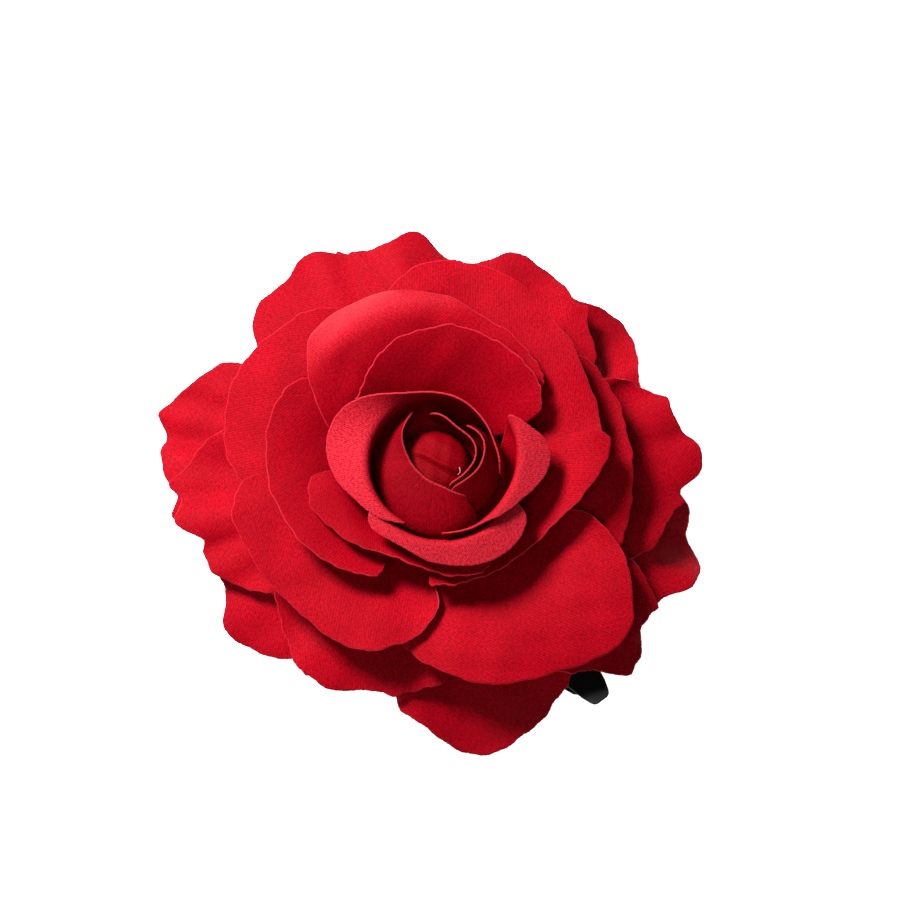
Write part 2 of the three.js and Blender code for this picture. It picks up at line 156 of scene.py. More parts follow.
for cad_name, body in (
    ("upper_lever", "flower_and_upper_lever"),
    ("lower_lever", "lower_lever"),
    ("hinge_pin", "flower_and_upper_lever"),
):
    piece = tumbled(cad_name, cad_name + "_lacquered", EDGE_RADIUS * MM)
    piece.data.materials.append(LACQUER)
    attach(piece, body)
    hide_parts(cad_name)

# ---- Torsion spring -----------------------------------------------------------------------------
# Drawn spring wire, 0.7 mm thick, wound on the pin. One leg presses up under the thumb tab and the
# other lies on the lower lever, so the coil winds up as the jaw opens.

WIRE = 0.35  # wire radius
COIL = 1.5  # coil radius, middle of the wire
TURNS = 3.5
HALF = 1.66  # half the coil's width along the pin
LEG = 12.0  # legs' reach from the pin
LEG_BEND = 4.0  # where the upper leg starts to climb towards its tab
LEG_CLIMB = 0.25  # how much it climbs for each millimetre after that
COIL_POINTS = 127
LEG_POINTS = 24
pin_at = np.array(frame["joints"][0]["pos_m"]) / MM
across = -np.array(frame["joints"][0]["axis"], float)
along = np.array([across[1], -across[0], 0.0])
up = np.array([0.0, 0.0, 1.0])


def wire_path():
    """Points of the wire's middle: a straight leg, a helix round the pin, and the other leg."""
    turn = np.linspace(0, 2 * np.pi * TURNS, COIL_POINTS)
    sideways = np.linspace(-HALF, HALF, COIL_POINTS)
    coil = np.stack([-COIL * np.sin(turn), sideways, COIL * np.cos(turn)], 1)
    reach = np.linspace(LEG, WIRE, LEG_POINTS)
    climb = COIL - 0.1 + np.maximum(0, reach - LEG_BEND) * LEG_CLIMB
    top = np.stack([reach, np.full(LEG_POINTS, -HALF), climb], 1)
    bottom = np.stack([reach, np.full(LEG_POINTS, HALF), np.full(LEG_POINTS, -COIL)], 1)
    return np.concatenate([top, coil, bottom[::-1]])


def ring_faces(rings, sides, flip=False):
    """Faces over rings of `sides` points each: a quad for every step round a ring and on to the next
    one, and a cap on the first and the last ring. `flip` turns every face over."""
    i, j = np.meshgrid(np.arange(rings - 1), np.arange(sides), indexing="ij")
    k = (j + 1) % sides
    quads = np.stack([i * sides + j, i * sides + k, (i + 1) * sides + k, (i + 1) * sides + j], -1)
    last = (rings - 1) * sides
    caps = [list(range(sides))[::-1], list(range(last, last + sides))]
    faces = quads.reshape(-1, 4).tolist() + caps
    return [face[::-1] for face in faces] if flip else faces


def tube(path, radius, sides):
    """A closed round tube along a path: rings of `sides` points, each ring square to the path."""
    step = np.gradient(path, axis=0)
    step /= np.linalg.norm(step, axis=1, keepdims=True)
    side = np.cross(step, [0.31, 0.9, 0.28])
    side /= np.linalg.norm(side, axis=1, keepdims=True)
    other = np.cross(step, side)
    turn = np.linspace(0, 2 * np.pi, sides, endpoint=False)[None, :, None]
    rings = path[:, None] + radius * (np.cos(turn) * side[:, None] + np.sin(turn) * other[:, None])
    return rings.reshape(-1, 3), ring_faces(len(path), sides, flip=True)


def solid_piece(name, points, faces, material):
    """A smooth mesh object from points in millimetres and faces that already point outwards."""
    mesh = bpy.data.meshes.new(name)
    mesh.from_pydata((np.asarray(points) * MM).tolist(), [], faces)
    mesh.polygons.foreach_set("use_smooth", np.ones(len(mesh.polygons), bool))
    mesh.materials.append(material)
    mesh.update()
    made = bpy.data.objects.new(name, mesh)
    bpy.context.scene.collection.objects.link(made)
    return made


# Drawn wire: bright steel whose fine scratches and film of oil leave it shiny in places, dull in others.
WIRE_STEEL, tree = new_material("drawn spring steel wire")
place = add(tree, "ShaderNodeTexCoord")
scratch = add(
    tree,
    "ShaderNodeTexNoise",
    [("Vector", place.outputs["Object"]), ("Scale", 3500), ("Detail", 3)],
)
dull = add(
    tree,
    "ShaderNodeMapRange",
    [("Value", scratch.outputs["Fac"]), ("To Min", 0.2), ("To Max", 0.45)],
)
shade = add(
    tree,
    "ShaderNodeBsdfPrincipled",
    [("Base Color", linear("#a3a5a8")), ("Metallic", 1.0), ("Roughness", dull.outputs["Result"])],
)
add(tree, "ShaderNodeOutputMaterial", [("Surface", shade.outputs["BSDF"])])

local = wire_path()
route = pin_at + local[:, :1] * along + local[:, 1:2] * across + local[:, 2:] * up
spring = solid_piece("torsion_spring_wire", *tube(route, WIRE, 16), WIRE_STEEL)
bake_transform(spring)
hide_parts("torsion_spring")

# ---- Felt disc ----------------------------------------------------------------------------------
# Pressed wool felt, punched out and glued to the clip's flat and to the underside of the petals.
# Its cut edge is uneven, and loose fibres make it look dusty.

felt_low, felt_high = (np.array(corner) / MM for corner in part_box("felt_backing"))
axis_x, axis_y = ((felt_low + felt_high) / 2)[:2]


def turned(profile, sides, wobble):
    """A profile of [radius, z] turned about the flower's axis. `wobble`, a function of the angle and
    the profile point's number, is added to the radius."""
    profile = np.asarray(profile, float)
    turn = np.linspace(0, 2 * np.pi, sides, endpoint=False)
    index, angle = np.meshgrid(np.arange(len(profile)), turn, indexing="ij")
    radius = profile[index, 0] + wobble(angle, index)
    x, y = axis_x + radius * np.cos(angle), axis_y + radius * np.sin(angle)
    points = np.stack([x, y, profile[index, 1]], -1)
    return points.reshape(-1, 3), ring_faces(len(profile), sides)


# Wool felt: matt, with short fibres lying every way that catch the light as paler flecks.
FELT, tree = new_material("pressed wool felt")
place = add(tree, "ShaderNodeTexCoord")
fibre = add(
    tree,
    "ShaderNodeTexNoise",
    [
        ("Vector", place.outputs["Object"]),
        ("Scale", 2200),
        ("Detail", 6),
        ("Roughness", 0.7),
        ("Distortion", 1.5),
    ],
)
cloud = add(tree, "ShaderNodeTexNoise", [("Vector", place.outputs["Object"]), ("Scale", 180), ("Detail", 2)])
tone = add(
    tree,
    "ShaderNodeMapRange",
    [("Value", fibre.outputs["Fac"]), ("From Min", 0.35), ("From Max", 0.68)],
)
dye = add(
    tree,
    "ShaderNodeMix",
    [("Factor", tone.outputs["Result"]), (6, linear("#7c0716")), (7, linear("#b52332"))],
    data_type="RGBA",
)
patch = add(
    tree,
    "ShaderNodeMix",
    [("Factor", cloud.outputs["Fac"]), (6, dye.outputs[2]), (7, linear("#8f0b1b"))],
    data_type="RGBA",
)
bump = add(
    tree,
    "ShaderNodeBump",
    [("Height", fibre.outputs["Fac"]), ("Strength", 0.6), ("Distance", 0.0002)],
)
shade = add(
    tree,
    "ShaderNodeBsdfPrincipled",
    [
        ("Base Color", patch.outputs[2]),
        ("Roughness", 0.95),
        ("Specular IOR Level", 0.2),
        ("Sheen Weight", 0.4),
        ("Sheen Roughness", 0.6),
        ("Normal", bump.outputs["Normal"]),
    ],
)
add(tree, "ShaderNodeOutputMaterial", [("Surface", shade.outputs["BSDF"])])



def punched_edge(angle, index):
    """The felt's rim wanders in and out by up to 0.12 mm: a fine sine round the rim, which swells
    and fades with a slower one."""
    on_rim = (index > 2) & (index < 9)
    return np.where(on_rim, 0.12 * np.sin(31 * angle + index) * np.sin(7 * angle), 0)


low, high, rim = felt_low[2], felt_high[2], (felt_high[0] - felt_low[0]) / 2
profile = [[0.4, low], [8, low], [16, low], [rim - 0.6, low], [rim - 0.1, low + 0.3], [rim, low + 0.8]]
profile += [[rim, high - 0.7], [rim - 0.15, high - 0.2], [rim - 0.7, high]]
profile += [[15, high], [7, high], [0.4, high]]
felt = solid_piece("felt_backing_disc", *turned(profile, 240, punched_edge), FELT)
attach(felt, "flower_and_upper_lever")
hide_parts("felt_backing")

# ---- Moulded base -------------------------------------------------------------------------------
# The calyx is injection-moulded green polyethylene. It steps in as it rises, and each step is the
# shoulder that one round of petals is glued to. Five shallow lobes run up its sides.

# Moulded polyethylene: satin and slightly waxy, with faint streaks where the plastic flowed.
CALYX, tree = new_material("moulded green polyethylene")
place = add(tree, "ShaderNodeTexCoord")
flow = add(tree, "ShaderNodeTexNoise", [("Vector", place.outputs["Object"]), ("Scale", 320), ("Detail", 3)])
tint = add(
    tree,
    "ShaderNodeMix",
    [("Factor", flow.outputs["Fac"]), (6, linear("#355f2e")), (7, linear("#477a3d"))],
    data_type="RGBA",
)
bump = add(
    tree,
    "ShaderNodeBump",
    [("Height", flow.outputs["Fac"]), ("Strength", 0.15), ("Distance", 0.0001)],
)
shade = add(
    tree,
    "ShaderNodeBsdfPrincipled",
    [("Base Color", tint.outputs[2]), ("Roughness", 0.48), ("Normal", bump.outputs["Normal"])],
)
add(tree, "ShaderNodeOutputMaterial", [("Surface", shade.outputs["BSDF"])])



def shallow_lobes(angle, index):
    """The sides go in by 0.3 mm between five lobes, as a cosine of five times the angle."""
    on_side = (index > 1) & (index < 8)
    return np.where(on_side, -0.15 + 0.15 * np.cos(5 * angle), 0)


profile = [[0.5, 8.6], [13, 8.6], [13.1, 9.2], [12.3, 11.2], [10.9, 12.6], [9.4, 15.4], [7.9, 17.2]]
profile += [[6.9, 18.4], [6, 19], [3, 19], [0.5, 19]]
calyx = solid_piece("flower_base_calyx", *turned(profile, 120, shallow_lobes), CALYX)
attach(calyx, "flower_and_upper_lever")
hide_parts("flower_base")

# ---- Back petals --------------------------------------------------------------------------------
# Two rounds of six, die-cut from stiffened polyester satin twill with lobes and notches at the tip,
# then heat-pressed so that soft flutes run out to the lobes. They are glued flat over the felt.


def smooth(values, x):
    """Reads values, given at equal steps over 0..1, on a smooth curve through them (Catmull-Rom)."""
    v = np.asarray(values, float)
    if len(v) == 1:
        return np.full_like(x, v[0])
    last = len(v) - 1
    p = np.clip(x, 0, 1) * last
    i = np.minimum(p.astype(int), last - 1)
    f = p - i
    v = np.concatenate([[2 * v[0] - v[1]], v, [2 * v[-1] - v[-2]]])
    a, b, c, d = v[i], v[i + 1], v[i + 2], v[i + 3]
    return b + 0.5 * f * (c - a + f * (2 * a - 5 * b + 4 * c - d + f * (3 * (b - c) + d - a)))


def travelled(direction, step):
    """How far each point has gone from its column's foot: the running sum of the direction, each
    step taking the mean of its two ends."""
    steps = np.cumsum((direction[1:] + direction[:-1]) / 2, 0)
    return np.concatenate([np.zeros_like(direction[:1]), steps]) * step


def creases(x, y, seed):
    """Fine creases over the flat cloth: four sets of bent sine waves 7 to 20 mm apart, moved by
    the seed so that no two petals are creased alike."""
    u, v = x + 13 * seed, y + 7 * seed
    waves = np.sin(u / 3.1 + 1.3 * np.sin(v / 4.3)) + np.sin(v / 2.6 + 1.7 * np.sin(u / 5.1 + 2))
    waves += 0.6 * np.sin((u + v) / 1.9 + np.sin(v / 3))
    return waves + 0.5 * np.sin((u - v) / 1.5 + 2 * np.sin(u / 6))


FLAT_SPREAD = 0.8  # a petal's angle on the flat cloth, as a share of its spread on the flower
PLAIN_CRUMPLE = 0.4  # how much the open petals are crumpled
FULL_ROLL = 110  # degrees of curl at which a lip is rolled right over


def petal_surface(petal, rows, columns, seed):
    """The cloth's middle surface. Each column of points leaves the foot circle and follows the slope
    `rise`, read along its own length, for the distance `reach`. Past the length `fold` it turns by
    `curl` degrees over `roll` mm. `lift` raises the edge, `push` moves it out, and `belly` moves the
    middle out. `lobes` are bumps and notches of the edge, each a bell curve: place across, height,
    width. `folds` are soft ridges running outwards, bell curves too: place across, width, height,
    where they start, and sideways drift. The fine creases of handling are added last.
    Returns points in mm, the same points on the flat cloth, each point's distance to the edge, and
    how far it is rolled over, 0 to 1."""
    q = {
        "curl": [0], "fold": 20, "roll": 5, "lift": [0], "push": [0], "belly": [0],
        "narrow": 0.65, "centre": [0, 0], "lobes": [], "folds": [], "crumple": PLAIN_CRUMPLE, **petal,
    }
    across = np.linspace(0, 1, columns + 1)[None, :]
    share = np.linspace(0, 1, rows + 1)[:, None]
    cut = 0.04 * np.sin(across * 911 + seed) + 0.04 * np.sin(across * 1733 + 2 * seed)
    wander = 0.12 * np.sin(across * 97 + 3 * seed)
    wander += 0.2 * np.sin(across * 31 + 1.7 * np.sin(across * 13 + seed))
    reach = smooth(q["reach"], across) + cut + wander * q["crumple"] / PLAIN_CRUMPLE
    for place, tall, wide in q["lobes"]:
        reach = reach + tall * np.exp(-(((across - place) / wide) ** 2))
    run = share * reach
    past = np.clip((run - q["fold"]) / q["roll"], 0, 1)
    bent = smooth(q["curl"], across) * past**2 * (3 - 2 * past)
    slope = np.radians(smooth(q["rise"], run / q["ref"]) + bent)
    out, rise = travelled(np.cos(slope), reach / rows), travelled(np.sin(slope), reach / rows)
    width = q["narrow"] + (1 - q["narrow"]) * np.sin(np.pi / 2 * np.minimum(1, 2 * run / q["ref"]))
    turn = q["spread"] * np.sin(np.pi * (across - 0.5)) * width
    angle = np.radians(q["az"] + turn)
    radius = q["foot"][0] + out + smooth(q["push"], across) * share
    radius = radius + smooth(q["belly"], across) * np.sin(np.pi * share)
    height = q["foot"][1] + rise + smooth(q["lift"], across) * share**2
    x, y = q["centre"][0] + radius * np.cos(angle), q["centre"][1] + radius * np.sin(angle)
    points = np.stack([x, y, height + 0 * angle], -1)
    normal = np.cross(np.gradient(points, axis=0), np.gradient(points, axis=1))
    normal /= np.linalg.norm(normal, axis=-1, keepdims=True) + 1e-12
    flat_angle, flat_radius = np.radians(turn * FLAT_SPREAD), q["foot"][0] + run
    flat = np.stack([flat_radius * np.cos(flat_angle), flat_radius * np.sin(flat_angle)], -1)
    raised = np.zeros_like(run)
    for place, wide, tall, start, drift in q["folds"]:
        grow = np.clip((share - start) / (1 - start), 0, 1)
        raised += tall * np.exp(-(((across - place - drift * share) / wide) ** 2)) * grow**1.5
    handled = creases(flat[..., 0], flat[..., 1], seed) * np.clip(share * 1.5, 0, 1)
    raised += 0.25 * q["crumple"] * handled
    points = points + normal * raised[..., None]
    gap = np.linalg.norm(np.diff(points, axis=1), axis=-1)
    from_side = np.concatenate([np.zeros((rows + 1, 1)), np.cumsum(gap, 1)], 1)
    from_side = np.minimum(from_side, from_side[:, -1:] - from_side)
    return points, flat, np.minimum(reach - run, from_side), np.clip(-bent / FULL_ROLL, 0, 1)


def satin(name, low_code, mid_code, fray_and_sheen_code):
    """Petal cloth, from the colours of its gaps, of its threads, and of its frayed edges, which also serves
    as the painted sheen on rolled lips.
    """
    made, tree = new_material(name)
    cut = add(tree, "ShaderNodeUVMap", uv_map="cut")
    # Twill ridges run across the cloth at 60 degrees, 0.45 mm apart, a little coarser than the real
    # 0.3 mm so that they show, and weft threads cross them 0.33 mm apart.
    lay = add(tree, "ShaderNodeMapping", [("Vector", cut.outputs[0]), ("Rotation", (0, 0, math.radians(60)))])
    ridge = add(
        tree,
        "ShaderNodeTexWave",
        [
            ("Vector", lay.outputs[0]),
            ("Scale", 0.7),
            ("Distortion", 1.2),
            ("Detail", 2),
            ("Detail Scale", 2),
        ],
        wave_profile="SIN",
    )
    weft = add(
        tree,
        "ShaderNodeTexWave",
        [
            ("Vector", cut.outputs[0]),
            ("Scale", 0.95),
            ("Distortion", 1.0),
            ("Detail", 2),
            ("Detail Scale", 3),
        ],
        wave_profile="SIN",
        bands_direction="Y",
    )
    weave = add(
        tree,
        "ShaderNodeMix",
        [("Factor", 0.35), (2, ridge.outputs["Fac"]), (3, weft.outputs["Fac"])],
    )
    # Fibres stand up out of the weave and hide most of it, and a faint cloud dulls it in patches.
    fuzz = add(
        tree,
        "ShaderNodeTexNoise",
        [("Vector", cut.outputs[0]), ("Scale", 2.2), ("Detail", 4), ("Roughness", 0.8)],
    )
    cloud = add(tree, "ShaderNodeTexNoise", [("Vector", cut.outputs[0]), ("Scale", 0.11), ("Detail", 3)])
    both = add(tree, "ShaderNodeMix", [("Factor", 0.86), (2, weave.outputs[0]), (3, fuzz.outputs["Fac"])])
    level = add(
        tree,
        "ShaderNodeMapRange",
        [("Value", both.outputs[0]), ("From Min", 0.36), ("From Max", 0.64)],
    )
    thread = add(
        tree,
        "ShaderNodeMix",
        [("Factor", level.outputs["Result"]), (6, linear(low_code)), (7, linear(mid_code))],
        data_type="RGBA",
    )
    spread = add(
        tree,
        "ShaderNodeMapRange",
        [("Value", cloud.outputs["Fac"]), ("From Min", 0.35), ("From Max", 0.7), ("To Max", 0.35)],
    )
    cloth = add(
        tree,
        "ShaderNodeMix",
        [("Factor", spread.outputs["Result"]), (6, thread.outputs[2]), (7, linear(low_code))],
        data_type="RGBA",
    )
    # Painted highlight: where a lip is rolled over, its threads are painted paler, towards the edge colour,
    # as the sheen of light on satin.
    over = add(tree, "ShaderNodeAttribute", attribute_name="rolled")
    thread_sheen = add(tree, "ShaderNodeMath", [(0, level.outputs["Result"]), (1, 0.55)], operation="MULTIPLY")
    painted_lip_sheen = add(
        tree,
        "ShaderNodeMath",
        [(0, over.outputs["Fac"]), (1, thread_sheen.outputs[0])],
        operation="MULTIPLY",
    )
    cloth_with_lip_sheen = add(
        tree,
        "ShaderNodeMix",
        [("Factor", painted_lip_sheen.outputs[0]), (6, cloth.outputs[2]), (7, linear(fray_and_sheen_code))],
        data_type="RGBA",
    )
    # Cut edges fray into a pale, ragged fringe about a fifth of a millimetre wide.
    edge = add(tree, "ShaderNodeAttribute", attribute_name="edge_mm")
    tatter = add(tree, "ShaderNodeTexNoise", [("Vector", cut.outputs[0]), ("Scale", 4.5), ("Detail", 2)])
    ragged = add(
        tree,
        "ShaderNodeMath",
        [(0, edge.outputs["Fac"]), (1, tatter.outputs["Fac"])],
        operation="DIVIDE",
    )
    fringe = add(
        tree,
        "ShaderNodeMapRange",
        [
            ("Value", ragged.outputs[0]),
            ("From Min", 0.05),
            ("From Max", 0.4),
            ("To Min", 0.38),
            ("To Max", 0),
        ],
    )
    colour = add(
        tree,
        "ShaderNodeMix",
        [("Factor", fringe.outputs["Result"]), (6, cloth_with_lip_sheen.outputs[2]), (7, linear(fray_and_sheen_code))],
        data_type="RGBA",
    )
    bump = add(
        tree,
        "ShaderNodeBump",
        [("Height", both.outputs[0]), ("Strength", 0.8), ("Distance", 0.00025)],
    )
    shade = add(
        tree,
        "ShaderNodeBsdfPrincipled",
        [
            ("Base Color", colour.outputs[2]),
            ("Roughness", 0.55),
            ("Specular IOR Level", 0.03),
            ("Normal", bump.outputs["Normal"]),
        ],
    )
    # A little light comes through the cloth.
    glow = add(
        tree,
        "ShaderNodeBsdfTranslucent",
        [("Color", linear("#a00014")), ("Normal", bump.outputs["Normal"])],
    )
    mixed = add(tree, "ShaderNodeMixShader", [("Fac", 0.07), (1, shade.outputs[0]), (2, glow.outputs[0])])
    add(tree, "ShaderNodeOutputMaterial", [("Surface", mixed.outputs[0])])
    return made


# Stiffened polyester satin twill: its size leaves the floats nearly matt, so they spread the light
# softly, and the gaps between them stay darker.
PETAL_CLOTH = satin("red polyester satin twill", "#5c0006", "#a20015", "#c0303e")

PLY = 0.35  # cloth thickness, mm


def cloth_petal(name, petal, seed, cloth=PETAL_CLOTH, rows=80, columns=120):
    """Makes one petal of cloth from its sizes, with its thickness, and with its place on the flat
    cloth, its distance to the edge and its roll kept on the mesh for the material; the roll sets its painted
    lip sheen."""
    points, flat, edge, rolled = petal_surface(petal, rows, columns, seed)
    count = columns + 1
    i, j = np.meshgrid(np.arange(rows), np.arange(columns), indexing="ij")
    corner = i * count + j
    faces = np.stack([corner, corner + count, corner + count + 1, corner + 1], -1).reshape(-1, 4)
    place = points.reshape(-1, 3) + [axis_x, axis_y, 0]
    made = solid_piece(name + "_cloth", place, faces.tolist(), cloth)
    mesh = made.data
    cut = mesh.uv_layers.new(name="cut")
    cut.data.foreach_set("uv", flat.reshape(-1, 2)[faces.reshape(-1)].astype(np.float32).ravel())
    for label, values in (("edge_mm", edge), ("rolled", rolled)):
        kept = mesh.attributes.new(label, "FLOAT", "POINT")
        kept.data.foreach_set("value", values.ravel().astype(np.float32))
    ply = made.modifiers.new("Cloth thickness", "SOLIDIFY")
    ply.thickness = PLY * MM
    ply.offset = 0
    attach(made, "flower_and_upper_lever")
    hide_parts(name)


# Sizes in mm and degrees: az is where a petal points, spread half its width, ref the length over
# which its slopes are read, foot the radius and height where it is glued.
BACK = dict(ref=40, spread=28, narrow=0.8)
LOW = dict(BACK, foot=[14, 9.4], rise=[8, 2, -8, -16, -20])
HIGH = dict(BACK, foot=[13.5, 11.2], rise=[12, 6, -4, -13, -18])

BACK_PETALS = {
    "back_low_petal_1": dict(
        LOW, az=164, reach=[24, 26, 30.5, 42, 46.5, 43, 38, 32, 26],
        lift=[0, 1, -1, 1, -1.2, 0, 2, 0, 1.5],
        lobes=[[0.29, 3.9, 0.05], [0.48, 1.5, 0.02], [0.53, -1, 0.025], [0.7, -1, 0.02], [0.78, 4, 0.05]],
        folds=[
            [0.4, 0.035, -0.8, 0.2, 0.05], [0.48, 0.035, 0.9, 0.15, 0],
            [0.535, 0.03, -1, 0.15, 0], [0.61, 0.045, 0.9, 0.2, 0],
        ],
    ),
    "back_low_petal_2": dict(
        LOW, az=-141, reach=[26, 32, 34, 35.5, 30, 25, 22], lift=[-1.5, 0.5, -1, 1, 0],
        lobes=[[0.18, 2.8, 0.06], [0.43, 1.8, 0.06], [0.61, -0.8, 0.02], [0.69, 2.5, 0.03]],
        folds=[
            [0.3, 0.05, -0.8, 0.2, 0], [0.43, 0.06, 0.9, 0.2, 0],
            [0.6, 0.045, -0.9, 0.2, 0.02], [0.7, 0.05, 0.7, 0.2, 0],
        ],
    ),
    "back_low_petal_3": dict(
        LOW, az=-81, spread=27, reach=[24, 26, 31, 34.7, 39.8, 38, 34.5, 32, 29],
        lift=[0, -1, 1, 0, -1, 1.5, 3.5, 4.8, 4.8],
        lobes=[[0.2, -0.7, 0.03], [0.42, 0.6, 0.06]],
        folds=[[0.2, 0.05, -0.8, 0.2, 0], [0.33, 0.06, 1, 0.1, 0], [0.52, 0.06, -1, 0.1, -0.05]],
    ),
    "back_low_petal_4": dict(
        LOW, az=-15, reach=[26, 29, 33, 35.5, 41, 36, 33, 30, 27], lift=[0, 1, -1, 1, -2, 1, -1, 0],
        lobes=[[0.43, 1.6, 0.03], [0.56, -1.9, 0.035], [0.64, 0.7, 0.02], [0.69, -0.5, 0.02]],
        folds=[
            [0.42, 0.05, 1, 0.15, 0], [0.53, 0.045, -1.2, 0.1, 0],
            [0.63, 0.045, 1, 0.15, 0], [0.71, 0.035, -0.6, 0.3, 0],
        ],
    ),
    "back_low_petal_5": dict(
        LOW, az=44, spread=25, reach=[22, 26, 33.5, 39, 33.5, 28, 22], lift=[0, 1.5, -1, 1, 0],
        lobes=[[0.28, 1.2, 0.02], [0.6, 0.8, 0.06], [0.68, 2.5, 0.03]],
        folds=[[0.35, 0.04, 0.9, 0.2, 0], [0.48, 0.05, -1, 0.2, 0], [0.62, 0.05, 1.1, 0.2, 0]],
    ),
    "back_low_petal_6": dict(
        LOW, az=100, spread=26, reach=[22, 24, 28, 38.5, 41.5, 42, 33, 28, 24], lift=[0, -1, 1, -1, 0],
        lobes=[[0.32, 2.4, 0.02], [0.44, 2.6, 0.04], [0.57, -0.7, 0.04], [0.66, 3.5, 0.02]],
        folds=[[0.36, 0.04, -1, 0.2, 0], [0.46, 0.05, 1.1, 0.1, 0.03], [0.58, 0.05, -1.2, 0.2, 0]],
    ),
    "back_high_petal_1": dict(
        HIGH, az=-171, spread=26, reach=[26, 32, 36.5, 39, 38.5, 34, 30.5, 26, 22],
        lift=[0, 1, -1.5, 1, -1, 0, -1.5],
        lobes=[[0.36, 3.4, 0.03], [0.48, 1.7, 0.025], [0.54, -1.8, 0.025], [0.64, 1.2, 0.05]],
        folds=[
            [0.4, 0.035, -0.7, 0.2, 0], [0.48, 0.035, 0.8, 0.15, 0],
            [0.55, 0.035, -1, 0.1, 0.02], [0.65, 0.05, 0.9, 0.2, 0],
        ],
    ),
    "back_high_petal_2": dict(
        HIGH, az=-118, spread=31, reach=[24, 26, 28, 31, 33, 29, 27.5, 26, 23],
        lift=[2, 1.5, 0, 1, -1, 1, 0],
        lobes=[[0.38, 1, 0.03], [0.55, -0.5, 0.03], [0.66, 1, 0.03]],
        folds=[[0.4, 0.05, 0.9, 0.2, 0], [0.54, 0.05, -1, 0.2, 0], [0.67, 0.05, 0.9, 0.2, 0]],
    ),
    "back_high_petal_3": dict(
        HIGH, az=-42, spread=20, reach=[24, 30, 34, 39, 35, 31, 27],
        lift=[3.5, 3.5, 3.5, 2.5, 1.5, 1.5, 2],
        lobes=[[0.43, 1.9, 0.045], [0.59, -1.3, 0.04], [0.73, 2.1, 0.05]],
        folds=[[0.42, 0.05, 0.8, 0.3, 0], [0.59, 0.05, -0.9, 0.3, 0], [0.74, 0.05, 0.8, 0.3, 0]],
    ),
    "back_high_petal_4": dict(
        HIGH, az=6, spread=29, reach=[25, 27, 31, 33.5, 39, 36.5, 33.5, 28, 24],
        lift=[-1.5, -1, 1, -1.5, 1.5, -1.5, 1, 0],
        lobes=[[0.4, 1.3, 0.015], [0.44, -2.2, 0.03], [0.54, 1, 0.04], [0.7, 1.2, 0.025], [0.78, -0.5, 0.02]],
        folds=[
            [0.46, 0.05, 1, 0.15, 0], [0.575, 0.04, -1.6, 0.05, 0],
            [0.68, 0.05, 1.1, 0.1, 0], [0.8, 0.045, -0.8, 0.2, 0],
        ],
    ),
    "back_high_petal_5": dict(
        HIGH, az=63, spread=27, reach=[22, 27, 32, 37.5, 37.5, 33, 27], lift=[0, 1, -1, 0],
        lobes=[[0.36, 2.3, 0.02], [0.6, 1.4, 0.06], [0.7, -0.5, 0.04], [0.82, 2, 0.03]],
        folds=[
            [0.4, 0.06, 0.5, 0.2, 0], [0.52, 0.06, -0.6, 0.2, 0],
            [0.64, 0.06, 0.6, 0.2, 0], [0.76, 0.05, -0.4, 0.2, 0],
        ],
    ),
    "back_high_petal_6": dict(
        HIGH, az=123, reach=[22, 24, 28, 41.5, 41, 40.5, 33, 29, 25], lift=[0, -1, 1, -1, 1, -1, 1, 0],
        lobes=[[0.34, 2.5, 0.015], [0.46, 2.5, 0.045], [0.52, 0.7, 0.1], [0.68, 0.9, 0.05], [0.78, 3, 0.02]],
        folds=[
            [0.4, 0.05, -0.8, 0.1, -0.05], [0.5, 0.04, 1.2, 0.1, -0.08],
            [0.6, 0.05, -0.9, 0.1, -0.03], [0.72, 0.06, 0.7, 0.2, 0],
        ],
    ),
}
for seed, (name, petal) in enumerate(BACK_PETALS.items(), 1):
    cloth_petal(name, petal, seed, columns=190)

# ---- Outer petals -------------------------------------------------------------------------------
# Five rounder petals of the same cloth, one ply each, pressed into a shallow dish and glued to the
# base a step higher, so that each one overlaps the next.

OUTER = dict(foot=[12, 13], spread=40, ref=36, rise=[28, 22, 10, -4, -14])
OUTER_PETALS = {
    "outer_petal_1": dict(
        OUTER, az=152, spread=34, reach=[24, 31, 33.5, 35.5, 33, 28, 22],
        folds=[[0.3, 0.1, 0.8, 0.1, 0], [0.62, 0.12, -0.9, 0, 0.05]],
    ),
    "outer_petal_2": dict(
        OUTER, az=-136, spread=46, foot=[12, 14], lift=[0, 0, 0, 0.5, 2.2],
        folds=[[0.25, 0.08, 0.8, 0.2, 0], [0.45, 0.07, -0.7, 0.3, 0], [0.68, 0.08, 0.8, 0.2, 0]],
        reach=[21, 28, 30.5, 29, 27.5, 27.5, 23.5, 18, 14],
    ),
    "outer_petal_3": dict(
        OUTER, az=-60, spread=46, foot=[12, 13.8], lift=[-2.8, -1.6, -0.5, 0, 0.8, 1.5, 2],
        folds=[[0.32, 0.07, 0.7, 0.2, 0], [0.48, 0.06, -1.2, 0.3, 0.05], [0.62, 0.07, 1.1, 0.1, 0]],
        reach=[19, 23, 26.5, 31, 33.5, 37, 30.5, 22, 17],
    ),
    "outer_petal_4": dict(
        OUTER, az=8, spread=38, foot=[12, 12.9], lift=[-2.5, -1.5, 0, 0, 0],
        reach=[22, 26, 27, 27, 27.5, 27, 22],
    ),
    "outer_petal_5": dict(
        OUTER, az=80, spread=34, lift=[0.8, 0.4, 0, 0, 0], reach=[22, 26, 27, 28, 27, 26, 22],
    ),
}
for seed, (name, petal) in enumerate(OUTER_PETALS.items(), 21):
    cloth_petal(name, petal, seed)

# ---- Middle petals ------------------------------------------------------------------------------
# Three large petals that begin to stand up round the cup. The far one's top rim is folded back.

